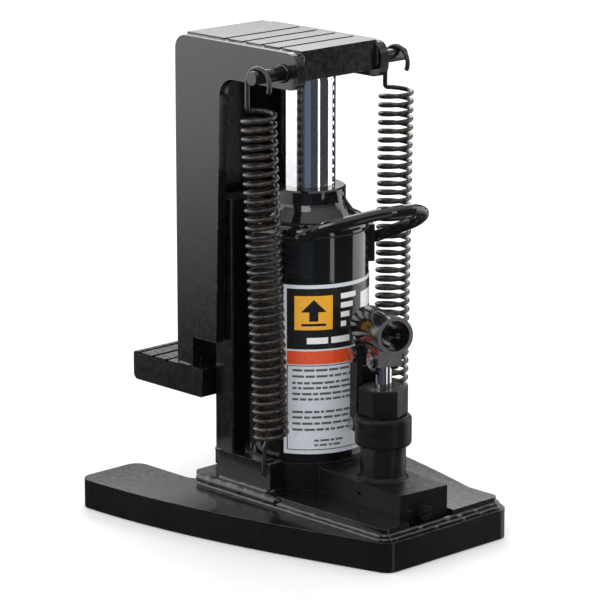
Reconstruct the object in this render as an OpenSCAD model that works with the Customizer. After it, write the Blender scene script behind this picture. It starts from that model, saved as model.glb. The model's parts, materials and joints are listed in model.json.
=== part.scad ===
// Hydraulic toe jack: a bottle jack in a welded U-shaped base, with a lifting
// carriage that carries a ribbed head plate on top and a toe at the back.
// Origin: on the ground under the ram axis. -Y is the pump side, +Y the toe side, +Z up.

/* [Base plate] */
// Thickness of the base plate
base_t = 19; // [14:1:26]
// Distance from the ram axis to the front edge of the base plate
base_front = 127; // [120:1:150]
// Distance from the ram axis to the tips of the legs
base_back = 111; // [100:1:150]
// Half of the base plate's width across the leg tips
base_back_half = 100; // [90:1:120]
// Gap between the toe block and each leg
leg_gap = 9.5; // [7:0.5:16]
// Corner radius of the base plate
base_corner = 9; // [4:1:14]

/* [Mounting plate] */
// Thickness of the plate that carries the jack
mount_t = 7; // [5:1:12]
// Width of base plate left beside the mounting plate at the front
base_side = 2; // [1:0.5:10]
// Length of base plate left in front of the mounting plate
base_past = 6; // [4:0.5:30]
// Gap between the back of the mounting plate and the toe block
mount_gap = 3.5; // [2:0.5:8]
// Corner radius of the mounting plate
mount_corner = 5; // [3:1:14]

/* [Carriage] */
// Height of the head's top face above the ground, as drawn
head_top = 308; // [290:1:330]
// Thickness of the head plate
head_t = 19; // [14:1:26]
// Half of the head plate's width
head_half = 32.5; // [28:0.5:40]
// Distance from the ram axis to the head plate's front edge
head_front = 28; // [22:1:36]
// Thickness of the side gussets
gusset_t = 7; // [5:0.5:10]
// Height of a gusset's arm beside the head plate
arm_h = 24; // [20:1:30]
// How far the arms run past the head plate's front edge
arm_past = 4; // [2:1:8]
// Depth of a gusset's upright leg at its foot
leg_d = 37; // [30:1:40]
// Extra depth of the leg where it meets the arm
leg_flare = 5; // [0:1:8]
// Inner corner radius between leg and arm
arm_fillet = 12; // [6:1:16]
// Height of the gusset's lower front edge above the toe block
gusset_rise = 20; // [14:1:30]
// Thickness of the back web
web_t = 14.5; // [10:0.5:18]
// Number of grooves across the head
head_grooves = 4; // [2:1:6]
// Distance between the head's grooves
head_pitch = 16.5; // [12:0.5:20]
// Place of the frontmost head groove, behind the front edge
head_first = 19; // [12:1:24]
// Width of a groove
groove_w = 3; // [2:0.25:4]
// Depth of a groove
groove_d = 1.8; // [1:0.2:3]

/* [Toe] */
// Height of the toe's top face above the ground, as drawn
toe_top = 90.5; // [84:0.5:104]
// Thickness of the toe block
toe_t = 19; // [15:1:24]
// How far the toe reaches behind the carriage
toe_reach = 44; // [30:1:54]
// How far the toe block runs in front of the back web
toe_inner = 9; // [6:1:14]
// Number of grooves across the toe
toe_grooves = 3; // [2:1:4]
// Distance between the toe's grooves
toe_pitch = 13.3; // [10:0.1:16]
// Place of the rearmost toe groove, ahead of the tip
toe_first = 6.5; // [5:0.5:10]

/* [Guide bars] */
// How far behind the tank's back the guide bars start
guide_start = 0.1; // [0.1:0.1:4]
// Clearance between the toe block and the guide bars
guide_gap = 1.8; // [1:0.1:3]
// Clearance between the gussets and the guide bars
guide_side_gap = 2.5; // [1.5:0.1:4]
// Depth of a guide bar, front to back
guide_d = 17; // [12:1:20]
// Width of a guide bar
guide_w = 15; // [10:1:18]
// Height of the guide bars above the ground
guide_top = 204; // [180:1:212]
// Thickness of the plate that ties the bars together
tie_t = 6; // [4:1:10]
// Height of the tie plate
tie_h = 26; // [16:1:40]

/* [Tank] */
// Turn of the bottle jack on its mounting plate
jack_turn = 5; // [0:1:8]
// Outer radius of the oil tank
tank_r = 38.6; // [34:0.1:40]
// Wall of the oil tank
tank_wall = 3; // [2:0.5:5]
// Height of the top of the tank tube
tank_top = 189; // [175:1:195]
// Height of the casting's tank seat
tank_seat = 44; // [42:1:50]
// Height of the cap above the tank tube's seal
cap_h = 26; // [18:0.5:28]
// Wall of the cap outside the ram wiper
cap_wall = 3.6; // [2:0.1:5]
// Height of the cap's straight rim
cap_rim = 9; // [6:1:12]

/* [Ram] */
// Radius of the ram
ram_r = 17.4; // [14:0.1:19]
// Radial running clearance between the ram and its bore
ram_fit = 0.05; // [0.02:0.01:0.1]
// How deep the ram's top sits in the head plate
ram_seat = 6; // [3:1:10]
// Radial width of the piston's land past the ram
piston_land = 2.6; // [1.5:0.1:4]
// Wall of the pressure cylinder
cyl_wall = 4; // [3:0.5:6]
// Travel left below the drawn position
travel_down = 68; // [40:1:69]
// Travel left above the drawn position
travel_up = 37; // [20:1:40]

/* [Pump] */
// Distance from the tank to the pump axis
pump_gap = 36.4; // [33:0.2:42]
// Half of the pump block's width
block_half = 19.5; // [18:0.5:24]
// Length of mounting plate left in front of the pump block
block_in = 7; // [1:0.5:12]
// Height of the block's top face
block_top = 41; // [38:1:43]
// Radius of the pump boss
boss_r = 14.4; // [13:0.1:16]
// Height of the top of the pump boss
boss_top = 62; // [58:1:66]
// Outer radius of the swivel collar
collar_r = 17.9; // [17:0.1:20]
// Height of the swivel collar
collar_h = 19.5; // [14:0.5:22]
// Hexagon width across flats
hex_af = 27; // [24:1:30]
// Height of the hexagon
hex_h = 17.5; // [12:0.5:20]
// Radius of the pump plunger
plunger_r = 5.2; // [4:0.1:7]
// Turn of the handle socket away from straight ahead, as drawn
swivel_deg = 17; // [-30:1:40]
// Gap between the hexagon's flats and the links behind it
hex_gap = 1; // [1:0.1:3]
// Height of both pivot pins above the hexagon
pivot_rise = 16.5; // [15.5:0.5:24]
// Outer radius of the handle socket
socket_r = 12; // [10:0.5:14]
// Wall of the handle socket
socket_wall = 2.5; // [2:0.25:4]
// Height of the socket's axis above the pins
socket_rise = 18; // [15:0.5:22]
// Reach of the socket in front of the plunger
socket_front = 19; // [14:1:30]
// Reach of the socket behind the plunger
socket_rear = 24; // [20:1:28]
// Upward tilt of the socket, as drawn
socket_tilt = 3; // [0:1:6]
// Radius of the pivot pins
pin_r = 3; // [2.5:0.25:4]
// Radial clearance round a pivot pin
pin_fit = 0.08; // [0.04:0.01:0.15]

/* [Return springs] */
// Outer radius of a return spring
spring_r = 11.5; // [9:0.5:13]
// Diameter of the spring wire
wire_d = 2.7; // [2:0.1:3.5]
// Distance of the upper hooks outside the gussets
hook_top_out = 20.5; // [16:0.5:26]
// Distance of the lower hooks outside the spring anchors
hook_low_out = 3; // [2:0.5:8]
// Distance in front of the ram axis of the upper hooks
spring_top_y = 18.5; // [14:0.5:22]
// Distance in front of the ram axis of the lower hooks
spring_low_y = 22; // [16:0.5:26]
// Radius of the spring pins
spring_pin_r = 4.3; // [3.5:0.1:5]
// How far a spring pin reaches past the spring's centre
spring_pin_past = 6; // [4:1:10]
// Height of the lowest coil above the spring anchors
coil_rise = 19; // [12:1:30]

/* [Carry handle] */
// Radius of the handle rod
rod_r = 3.8; // [3:0.1:5]

/* [Label] */
// Width of bare tank left above and below the label
label_margin = 5.5; // [3:0.5:20]
// Thickness of the label
label_t = 0.4; // [0.3:0.1:1]
// Where the label starts, turned from straight ahead towards the left side
label_from = 67; // [50:1:80]
// Angle that the label wraps round
label_wrap = 168; // [120:1:220]

/* [Hidden] */
$fn = 64;

// Levels and planes that several pieces share
deck = base_t + mount_t;
guide_back = tank_r + guide_start + guide_d;
toe_front = guide_back + guide_gap;
web_front = toe_front + toe_inner;
carriage_back = web_front + web_t;
head_under = head_top - head_t;
outer_half = head_half + gusset_t;
arm_under = head_top - arm_h;
web_inset = 4;
gusset_drop = 1;
mount_back = toe_front - mount_gap;
mount_front = base_front - base_past;
guide_out = head_half - guide_side_gap;
foot_h = 10;
leg_gap_half = outer_half + leg_gap;

// Pump block and its bores
block_gap = 0.2;
block_front = mount_front - block_in;
pump_y = tank_r + pump_gap;
seat_lip = 2;
foot_gap = 0.5;
notch_back = tank_r + seat_lip + 1.4;
spigot_h = 4;
packing_w = 2.5;
spigot_r = plunger_r + packing_w + 1.3;
neck_r = spigot_r + 3;
neck_fit = 0.3;
chamber_z = boss_top - 14;
inlet_depth = 9;
delivery_depth = 14;
delivery_gap = 20;
ball_r = 3.1;
passage_x = 11;
passage_z = base_t + 13;
passage_r = 2.2;
relief_z = base_t + 14.5;
relief_r = 2.6;
relief_in = 5.5;
relief_len = 6;
relief_ball_r = 2.3;
valve_x = -2;
valve_z = base_t + 9;
valve_r = 4;
valve_fit = 0.05;
valve_len = 26;
valve_head_r = 4.8;
valve_head = 5;
ring_d = 1.4;
hex_bottom = boss_top + collar_h + 0.5;
hex_turn = 24;
packing_h = 4;
packing_down = 8;
link_r = 5.5;
lever = hex_af / 2 + hex_gap + link_r;
pivot_z = hex_bottom + hex_h + pivot_rise;
plunger_z = chamber_z + 12;
plunger_pin_z = pivot_z + lever * sin(socket_tilt);

// Swivelling yoke
lug_half = 8;
ear_in = 4.8;
ear_t = 3.2;
ear_r = 7;
head_w = ear_in - 0.5;
head_down = ear_r + 2.5;
collar_gap = 0.2;
link_in = ear_in + ear_t + 0.5;
link_t = 3.5;
link_z = boss_top + collar_h / 2;
seam_half = 2.5;
wall_past = 3.5;
wall_low = -3;
web_gap = 1.5;
clip_t = 1.2;
clip_gap = 0.1;
ear_clip_gap = 0.4;
pin_past = 2.2;
pin_head_h = 2;
pin_head_r = pin_r + 1.6;
slot_fit = 0.3;
slot_len = 1.8;

// Tank, cap and ram
seal_t = 1;
gasket_t = 1.5;
cyl_r = ram_r + piston_land;
cyl_out = cyl_r + cyl_wall;
cyl_bottom = tank_seat + spigot_h + gasket_t;
cyl_top = tank_top + seal_t + 6;
cap_top = tank_top + seal_t + cap_h;
shoulder_r = 8;
wiper_down = 2;
wiper_h = 4;
wiper_w = 3;
cap_r = ram_r + wiper_w + cap_wall;
tank_in = tank_r - tank_wall;
filler_turn = 125;
nut_h = 7;
seal_h = 5;
piston_h = 8;
piston_bore = 8;
piston_z = cyl_bottom + 2 + travel_down + nut_h + seal_h;

// Handle tabs and rod, in the tank's own frame
handle_left = 52;
handle_right = 62;
tab_deg = 22;
tab_t = 4;
tab_h = 24;
rod_sides = 16;
bend_steps = 5;
// Corners of the rod's path: turn to the right, reach past the tank, height above the tank
handle_bends = [
    [-34, 7.4, 8.5], [-10.6, 10.4, 11.9], [3.6, 15.4, 14.5], [17, 25.4, 16.2], [27.6, 31.6, 15.5],
    [36.9, 36.4, 11.3], [46.1, 30.6, 3.3], [49.9, 21.5, -1.2], [55.1, 12, -6.2]
];
label_z = tank_seat + label_margin;
label_h = tank_top - tab_h - label_margin - label_z;

// Spring anchors and springs
anchor_w = 7;
anchor_gap = 2.4;
anchor_edge = 1;
anchor_in = tank_r + seat_lip + anchor_gap;
anchor_out = anchor_in + anchor_w;
mount_half = anchor_out + anchor_edge;
base_front_half = mount_half + base_side;
spring_low_x = anchor_out + hook_low_out;
spring_top_x = outer_half + hook_top_out;
anchor_front = 17.5;
anchor_back = 30;
anchor_top = deck + 19;
lug_w = 12.4;
lug_d = 8.5;
slot_front = 14;
slot_w = 3.6;
slot_d = 9;
cross_pin_r = 2;
cross_pin_in = 3.5;
cross_pin_down = 5;
spring_pin_z = arm_under + 10;
spring_low_z = anchor_top + coil_rise;
spring_top_z = spring_pin_z - 22;

// Unit vector of a plane vector
function unit(v) = v / norm(v);

// One corner of an outline, rounded by radius r as an arc of n steps
function corner_arc(a, b, c, r, n = 6) =
    r <= 0 ? [b] :
    let (u = unit(a - b), v = unit(c - b))
    let (half = acos(u * v) / 2, d = r / tan(half))
    let (mid = b + unit(u + v) * r / sin(half))
    let (p = b + u * d - mid, q = b + v * d - mid)
    let (start = atan2(p[1], p[0]), turn = atan2(p[0] * q[1] - p[1] * q[0], p * q))
    [for (i = [0:n]) mid + r * [cos(start + turn * i / n), sin(start + turn * i / n)]];

// A closed outline whose corners are given as [x, y, radius]
function rounded(pts) = [
    for (i = [0:len(pts) - 1])
        let (a = pts[(i + len(pts) - 1) % len(pts)], b = pts[i], c = pts[(i + 1) % len(pts)])
        each corner_arc([a[0], a[1]], [b[0], b[1]], [c[0], c[1]], b[2])
];

// The same corners on the other side of the plane of symmetry, in reverse order
function mirrored(pts) = [for (i = [len(pts) - 1:-1:0]) [-pts[i][0], pts[i][1], pts[i][2]]];

// A ring or pipe standing on height z
module ring(outer, inner, z, h) {
    translate([0, 0, z])
        difference() {
            cylinder(r = outer, h = h);
            translate([0, 0, -1])
                cylinder(r = inner, h = h + 2);
        }
}

// A round bar along X, from x0 to x1
module bar_x(r, x0, x1) {
    translate([x0, 0, 0])
        rotate([0, 90, 0])
            cylinder(r = r, h = x1 - x0);
}

// A round bar along Y, from y0 to y1
module bar_y(r, y0, y1) {
    translate([0, y1, 0])
        rotate([90, 0, 0])
            cylinder(r = r, h = y1 - y0);
}

// A plate in the YZ plane from its outline, from x0 to x1
module side_plate(outline, x0, x1) {
    translate([x0, 0, 0])
        rotate([90, 0, 90])
            linear_extrude(height = x1 - x0)
                polygon(outline);
}

// The bottle jack sits a little turned on its mounting plate
module jack_place() {
    rotate([0, 0, -jack_turn])
        children();
}

module pump_place() {
    jack_place()
        translate([0, -pump_y, 0])
            children();
}

// Frame of the swivelling yoke: -Y is straight out of the handle socket
module swivel_place() {
    pump_place()
        rotate([0, 0, -swivel_deg])
            children();
}

// Frame of the tilted socket: origin at the plunger pin's slot
module socket_place() {
    swivel_place()
        translate([0, lever, pivot_z])
            rotate([-socket_tilt, 0, 0])
                translate([0, -lever, 0])
                    children();
}

// ---- Welded base ----

function flank(t) = [
    base_front_half + (base_back_half - base_front_half) * sin(90 * t),
    -base_front + (base_front + base_back) * t,
    0
];

module base_plate() {
    half = concat(
        [[base_front_half, -base_front, base_corner]],
        [for (i = [1:11]) flank(i / 12)],
        [[base_back_half, base_back, base_corner]],
        [[leg_gap_half, base_back, base_corner]],
        [[leg_gap_half, mount_back, base_corner]]
    );
    color("#1b1b1d")
        linear_extrude(height = base_t)
            polygon(rounded(concat(half, mirrored(half))));
}

module mounting_plate() {
    half = [[mount_half, -mount_front, mount_corner], [mount_half, mount_back, mount_corner]];
    color("#1e1e20")
        translate([0, 0, base_t])
            difference() {
                linear_extrude(height = mount_t)
                    polygon(rounded(concat(half, mirrored(half))));
                jack_place()
                    translate([-block_half - block_gap, -block_front - 20, -1])
                        cube([2 * (block_half + block_gap), block_front + 20 - notch_back, mount_t + 2]);
            }
}

// Block with a slot and a cross pin that a spring's lower hook wraps
module spring_anchor() {
    color("#1b1b1d") {
        difference() {
            union() {
                translate([anchor_in, -anchor_front, deck])
                    cube([anchor_w, anchor_front + anchor_back, anchor_top - deck]);
                translate([anchor_out - lug_w, -anchor_front, deck])
                    cube([lug_w, lug_d, anchor_top - deck]);
            }
            // Room for the casting's tank seat
            translate([0, 0, deck - 1])
                cylinder(r = tank_r + seat_lip + foot_gap, h = anchor_top);
            // Slot for the hook
            translate([anchor_in - lug_w, -slot_front, anchor_top - slot_d])
                cube([2 * lug_w + anchor_w, slot_w, slot_d + 1]);
        }
        translate([anchor_out - cross_pin_in, 0, anchor_top - cross_pin_down])
            bar_y(cross_pin_r, -slot_front - 2, -slot_front + slot_w + 2);
    }
}

module spring_anchor_left() {
    mirror([1, 0, 0])
        spring_anchor();
}

module spring_anchor_right() {
    spring_anchor();
}

module guide_foot() {
    color("#1b1b1d")
        side_plate(
            rounded([
                [tank_r + seat_lip + foot_gap, deck, 0], [guide_back, deck, 0],
                [guide_back, deck + foot_h, 2], [tank_r + seat_lip + foot_gap, deck + foot_h, 2]
            ]),
            -guide_out, guide_out
        );
}

module guide_bar() {
    outline = rounded([
        [guide_out - guide_w, guide_back - guide_d, 1.5], [guide_out, guide_back - guide_d, 1.5],
        [guide_out, guide_back, 1.5], [guide_out - guide_w, guide_back, 1.5]
    ]);
    color("#1b1b1d")
        translate([0, 0, deck + foot_h])
            linear_extrude(height = guide_top - deck - foot_h)
                polygon(outline);
}

module guide_bar_left() {
    mirror([1, 0, 0])
        guide_bar();
}

module guide_bar_right() {
    guide_bar();
}

module guide_tie_plate() {
    reach = guide_out - guide_w;
    color("#1b1b1d")
        translate([-reach, guide_back - tie_t, guide_top - tie_h])
            cube([2 * reach, tie_t, tie_h]);
}

// ---- Bottle jack ----

module jack_base() {
    color("#202022")
        jack_place()
            difference() {
                union() {
                    translate([-block_half, -block_front, base_t])
                        cube([2 * block_half, block_front - notch_back - block_gap, block_top - base_t]);
                    translate([-block_half, -notch_back - 1, deck])
                        cube([2 * block_half, notch_back / 2, block_top - deck]);
                    translate([0, 0, deck])
                        cylinder(r = tank_r + seat_lip, h = tank_seat - deck);
                    translate([0, 0, tank_seat])
                        cylinder(r = tank_in, h = spigot_h);
                    translate([0, -pump_y, block_top - 1])
                        cylinder(r = boss_r, h = boss_top - block_top + 1);
                    translate([0, -pump_y, block_top])
                        cylinder(r1 = boss_r + 2, r2 = boss_r, h = 2);
                }
                // Bore for the pump cylinder's spigot
                translate([0, -pump_y, chamber_z])
                    cylinder(r = spigot_r, h = boss_top);
                // Inlet check valve under the pump
                translate([0, -pump_y, chamber_z - inlet_depth])
                    cylinder(r = ball_r + 0.3, h = inlet_depth + 1);
                // Delivery check valve under the ram
                translate([0, 0, tank_seat + spigot_h - delivery_depth])
                    cylinder(r = ball_r + 0.3, h = delivery_depth + 1);
                // Drilled oil passage along the block
                translate([-passage_x, 0, passage_z])
                    bar_y(passage_r, -block_front - 1, -delivery_gap);
                // Relief valve, drilled from the left face
                translate([0, -pump_y, relief_z])
                    bar_x(relief_r, -block_half - 1, -relief_in);
                // Release valve, drilled from the front face
                translate([valve_x, 0, valve_z]) {
                    bar_y(valve_r + valve_fit, -block_front - 1, -block_front + valve_len + 1);
                    bar_y(valve_r + ring_d, -block_front + 6, -block_front + 6 + ring_d + 0.2);
                }
            }
}

module tank_tube() {
    color("#141416")
        ring(tank_r, tank_in, tank_seat, tank_top - tank_seat);
}

module pressure_cylinder() {
    color("#8d9096")
        ring(cyl_out, cyl_r, cyl_bottom, cyl_top - cyl_bottom);
}

module cylinder_gasket() {
    color("#b5651d")
        ring(cyl_out, cyl_r, tank_seat + spigot_h, gasket_t);
}

module tank_seal() {
    color("#3a3a3a")
        ring(tank_r - 0.4, tank_in, tank_top, seal_t);
}

module oil_filter() {
    color("#c8b37a")
        ring(tank_in - 2.5, cyl_out + 2, tank_seat + spigot_h, 1.2);
}

module top_nut() {
    z0 = tank_top + seal_t;
    rim = cap_top - cap_rim;
    color("#161618")
        difference() {
            rotate_extrude()
                polygon(concat(
                    [[0, z0], [tank_r, z0]],
                    [for (i = [0:8]) [
                        tank_r - shoulder_r * (1 - cos(i * 90 / 8)),
                        z0 + shoulder_r * 0.9 * sin(i * 90 / 8)
                    ]],
                    [[cap_r + 2, rim - 3.5], [cap_r + 0.7, rim - 1.5], [cap_r, rim]],
                    [[cap_r, cap_top - 1], [cap_r - 1, cap_top], [0, cap_top]]
                ));
            translate([0, 0, z0 - 1])
                cylinder(r = cyl_out, h = cyl_top - z0 + 1);
            translate([0, 0, z0])
                cylinder(r = ram_r + ram_fit, h = cap_top);
            translate([0, 0, cap_top - wiper_down - wiper_h])
                cylinder(r = ram_r + wiper_w, h = wiper_h);
        }
}

module ram_wiper() {
    color("#2b2b2b")
        ring(ram_r + wiper_w, ram_r + ram_fit, cap_top - wiper_down - wiper_h, wiper_h);
}

module filler_plug() {
    color("#0f0f10")
        jack_place()
            rotate([0, 0, filler_turn])
                translate([0, 0, tank_top - 12])
                    intersection() {
                        bar_y(5, -tank_r - 2, -tank_r + 6);
                        difference() {
                            cylinder(r = tank_r + 2, h = 30, center = true);
                            cylinder(r = tank_r, h = 31, center = true);
                        }
                    }
}

module label() {
    color("#d9dadc")
        jack_place()
            rotate([0, 0, -90 - (label_from - jack_turn)])
                translate([0, 0, label_z])
                    rotate_extrude(angle = label_wrap)
                        translate([tank_r, 0])
                            square([label_t, label_h]);
}

// Points of a closed curve smoothed through the handle's corners
function bezier(a, b, c, t) = a * (1 - t) * (1 - t) + b * 2 * t * (1 - t) + c * t * t;

function smooth_path(p, n) = concat(
    [p[0]],
    [for (i = [1:len(p) - 2], k = [0:n])
        bezier(
            i == 1 ? p[0] * 0.4 + p[1] * 0.6 : (p[i - 1] + p[i]) / 2,
            p[i],
            i == len(p) - 2 ? p[i + 1] * 0.4 + p[i] * 0.6 : (p[i] + p[i + 1]) / 2,
            k / n
        )],
    [p[len(p) - 1]]
);

function drop_doubles(p) = [for (i = [0:len(p) - 1]) if (i == 0 || norm(p[i] - p[i - 1]) > 0.2) p[i]];

// A tube of radius r swept along a path, with closed ends
module sweep(path, r, sides) {
    n = len(path);
    dirs = [for (i = [0:n - 1]) unit(path[min(i + 1, n - 1)] - path[max(i - 1, 0)])];
    pts = [
        for (i = [0:n - 1])
            let (d = dirs[i], s = unit(cross(d, [0, 0, 1])), u = cross(s, d))
            for (k = [0:sides - 1])
                path[i] + r * (s * cos(360 * k / sides) + u * sin(360 * k / sides))
    ];
    walls = [
        for (i = [0:n - 2], k = [0:sides - 1])
            let (a = i * sides + k, b = i * sides + (k + 1) % sides)
            [a, b, b + sides, a + sides]
    ];
    ends = [[for (k = [sides - 1:-1:0]) k], [for (k = [0:sides - 1]) (n - 1) * sides + k]];
    polyhedron(points = pts, faces = concat(walls, ends), convexity = 8);
}

// A point beside the tank, turned to the right from straight ahead
function around(turn, r, z) = [r * sin(turn), -r * cos(turn), z];

handle_path = concat(
    [around(-handle_left, tank_r + tab_t, tank_top)],
    [for (b = handle_bends) around(b[0], tank_r + b[1], tank_top + b[2])],
    [around(handle_right, tank_r + tab_t, tank_top - 10)]
);

module handle_tab(turn) {
    rotate([0, 0, -90 - turn - tab_deg / 2])
        translate([0, 0, tank_top - tab_h])
            rotate_extrude(angle = tab_deg)
                translate([tank_r, 0])
                    square([tab_t, tab_h]);
}

module carry_handle() {
    color("#141416") {
        handle_tab(handle_left);
        handle_tab(-handle_right);
        sweep(drop_doubles(smooth_path(handle_path, bend_steps)), rod_r, rod_sides);
    }
}

// ---- Pump ----

module hexagon(af, h) {
    cylinder(r = af / sqrt(3), h = h, $fn = 6);
}

module pump_cylinder() {
    color("#1c1c1e")
        pump_place()
            difference() {
                union() {
                    translate([0, 0, chamber_z + 2])
                        cylinder(r = spigot_r, h = boss_top - chamber_z - 2);
                    translate([0, 0, boss_top])
                        cylinder(r = neck_r, h = hex_bottom - boss_top);
                    translate([0, 0, hex_bottom])
                        rotate([0, 0, hex_turn])
                            hexagon(hex_af, hex_h);
                }
                translate([0, 0, chamber_z])
                    cylinder(r = plunger_r + ram_fit, h = hex_bottom + hex_h);
                translate([0, 0, hex_bottom + hex_h - packing_down])
                    cylinder(r = plunger_r + packing_w, h = packing_h);
            }
}

module pump_packing() {
    color("#6b4a2b")
        pump_place()
            ring(plunger_r + packing_w, plunger_r + ram_fit, hex_bottom + hex_h - packing_down, packing_h);
}

module inlet_ball() {
    color("#c9ccd1")
        pump_place()
            translate([0, 0, chamber_z - inlet_depth + ball_r])
                sphere(r = ball_r);
}

module delivery_ball() {
    color("#c9ccd1")
        translate([0, 0, tank_seat + spigot_h - delivery_depth + ball_r])
            sphere(r = ball_r);
}

module delivery_spring() {
    z = tank_seat + spigot_h - delivery_depth + 2 * ball_r;
    color("#9a9da3")
        ring(ball_r - 0.2, ball_r - 1.4, z, tank_seat + spigot_h - z);
}

module relief_screw() {
    color("#19191b")
        pump_place()
            translate([0, 0, relief_z])
                difference() {
                    bar_x(relief_r, -block_half + 0.4, -block_half + relief_len);
                    bar_x(relief_r / 2, -block_half, -block_half + 2);
                }
}

module relief_spring() {
    color("#9a9da3")
        pump_place()
            translate([0, 0, relief_z])
                difference() {
                    bar_x(relief_r - 0.3, -block_half + relief_len, -relief_in - 2 * relief_ball_r);
                    bar_x(relief_r - 1.2, -block_half, 0);
                }
}

module relief_ball() {
    color("#c9ccd1")
        pump_place()
            translate([-relief_in - relief_ball_r, 0, relief_z])
                sphere(r = relief_ball_r);
}

module passage_plug() {
    color("#19191b")
        jack_place()
            translate([-passage_x, 0, passage_z])
                bar_y(passage_r, -block_front, -block_front + 6);
}

module release_valve() {
    color("#232326")
        jack_place()
            translate([valve_x, 0, valve_z])
                difference() {
                    union() {
                        bar_y(valve_r, -block_front - 0.2, -block_front + valve_len);
                        bar_y(valve_head_r, -block_front - valve_head - 0.2, -block_front - 0.2);
                    }
                    translate([-valve_head_r - 1, -block_front - valve_head - 1, -1])
                        cube([2 * valve_head_r + 2, 3.2, 2]);
                }
}

module valve_ring() {
    color("#101010")
        jack_place()
            translate([valve_x, -block_front + 6.1, valve_z])
                rotate([-90, 0, 0])
                    ring(valve_r + ring_d, valve_r + valve_fit, 0, ring_d);
}

module swivel_collar() {
    color("#1c1c1e")
        swivel_place()
            difference() {
                union() {
                    translate([0, 0, boss_top + 0.25])
                        rotate_extrude()
                            polygon(rounded([
                                [neck_r + neck_fit, 0, 0], [collar_r, 0, 2.5],
                                [collar_r, collar_h, 3], [neck_r + neck_fit, collar_h, 0]
                            ]));
                    translate([-lug_half, neck_r + 2, boss_top + 1.5])
                        cube([2 * lug_half, lever + 4.5 - neck_r, collar_h - 3]);
                }
                translate([0, lever, link_z])
                    bar_x(pin_r, -lug_half - 1, lug_half + 1);
            }
}

module link_arm(x) {
    color("#1a1a1c")
        swivel_place()
            difference() {
                union() {
                    translate([0, lever, pivot_z])
                        bar_x(link_r, x, x + link_t);
                    translate([0, lever, link_z])
                        bar_x(link_r, x, x + link_t);
                    translate([x, lever - link_r, link_z])
                        cube([link_t, 2 * link_r, pivot_z - link_z]);
                }
                translate([0, lever, pivot_z])
                    bar_x(pin_r, x - 1, x + link_t + 1);
                translate([0, lever, link_z])
                    bar_x(pin_r, x - 1, x + link_t + 1);
                // Room for the collar in front of the links
                translate([0, 0, boss_top])
                    cylinder(r = collar_r + collar_gap, h = collar_h + 1);
            }
}

// Cross plate that joins the two links behind the plunger
module link_web() {
    color("#1a1a1c")
        swivel_place()
            translate([-link_in, lever + link_r - link_t, boss_top + collar_h + web_gap])
                cube([2 * link_in, link_t, pivot_z - ear_r - boss_top - collar_h - 2 * web_gap]);
}

module link_arm_left() {
    link_arm(-link_in - link_t);
}

module link_arm_right() {
    link_arm(link_in);
}

module headed_pin(half) {
    bar_x(pin_r, -half, half + pin_past);
    bar_x(pin_head_r, -half - pin_head_h, -half);
}

module link_pin() {
    color("#7d8086")
        swivel_place()
            translate([0, lever, link_z])
                headed_pin(link_in + link_t);
}

module rear_pivot_pin() {
    color("#7d8086")
        swivel_place()
            translate([0, lever, pivot_z])
                headed_pin(link_in + link_t);
}

module clip_x(x) {
    difference() {
        bar_x(pin_r + 2, x, x + clip_t);
        bar_x(pin_r, x - 1, x + clip_t + 1);
    }
}

module link_clip(z) {
    color("#9a9da3")
        swivel_place()
            translate([0, lever, z])
                clip_x(link_in + link_t + clip_gap);
}

module link_clip_low() {
    link_clip(link_z);
}

module link_clip_high() {
    link_clip(pivot_z);
}

module handle_socket() {
    color("#1a1a1c")
        socket_place()
            difference() {
                union() {
                    translate([0, 0, socket_rise])
                        bar_y(socket_r, -socket_front, socket_rear);
                    for (x = [-ear_in - ear_t, ear_in]) {
                        bar_x(ear_r, x, x + ear_t);
                        translate([0, lever, 0])
                            bar_x(ear_r, x, x + ear_t);
                        translate([x, -ear_r, 0])
                            cube([ear_t, lever + 2 * ear_r, socket_rise - 5]);
                    }
                    // Front wall that joins the ears
                    translate([-ear_in - ear_t, -ear_r - wall_past, wall_low])
                        cube([2 * (ear_in + ear_t), wall_past, socket_rise - 5 - wall_low]);
                }
                // Bore for the pump handle
                translate([0, 0, socket_rise])
                    bar_y(socket_r - socket_wall, -socket_front - 1, socket_rear + 1);
                // Seam where the rolled plate opens towards the plunger
                translate([-seam_half, -ear_r, 0])
                    cube([2 * seam_half, ear_r + socket_rear + 1, socket_rise]);
                // Hole for the rear pivot
                translate([0, lever, 0])
                    bar_x(pin_r + pin_fit, -ear_in - ear_t - 1, ear_in + ear_t + 1);
                // Slot for the plunger's pin
                bar_x(pin_r + slot_fit, -ear_in - ear_t - 1, ear_in + ear_t + 1);
                translate([0, -slot_len, 0])
                    bar_x(pin_r + slot_fit, -ear_in - ear_t - 1, ear_in + ear_t + 1);
                translate([-ear_in - ear_t - 1, -slot_len, -pin_r - slot_fit])
                    cube([2 * (ear_in + ear_t + 1), slot_len, 2 * (pin_r + slot_fit)]);
            }
}

module pump_plunger() {
    color("#d7dadf")
        swivel_place()
            difference() {
                union() {
                    translate([0, 0, plunger_z])
                        cylinder(r = plunger_r, h = plunger_pin_z - head_down - plunger_z);
                    intersection() {
                        translate([0, 0, plunger_pin_z])
                            bar_x(plunger_r, -head_w, head_w);
                        translate([-head_w, -plunger_r, plunger_pin_z - head_down])
                            cube([2 * head_w, 2 * plunger_r, 2 * head_down]);
                    }
                    intersection() {
                        translate([0, 0, plunger_pin_z - head_down - 1])
                            cylinder(r = plunger_r, h = head_down + 1);
                        translate([-head_w, -plunger_r, plunger_pin_z - head_down - 1])
                            cube([2 * head_w, 2 * plunger_r, head_down + 1]);
                    }
                }
                translate([0, 0, plunger_pin_z])
                    bar_x(pin_r, -head_w - 1, head_w + 1);
            }
}

module plunger_pin() {
    color("#7d8086")
        swivel_place()
            translate([0, 0, plunger_pin_z])
                bar_x(pin_r, -ear_in - ear_t - pin_past, ear_in + ear_t + pin_past);
}

module pin_clip(x) {
    color("#9a9da3")
        swivel_place()
            translate([0, 0, plunger_pin_z])
                clip_x(x);
}

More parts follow.
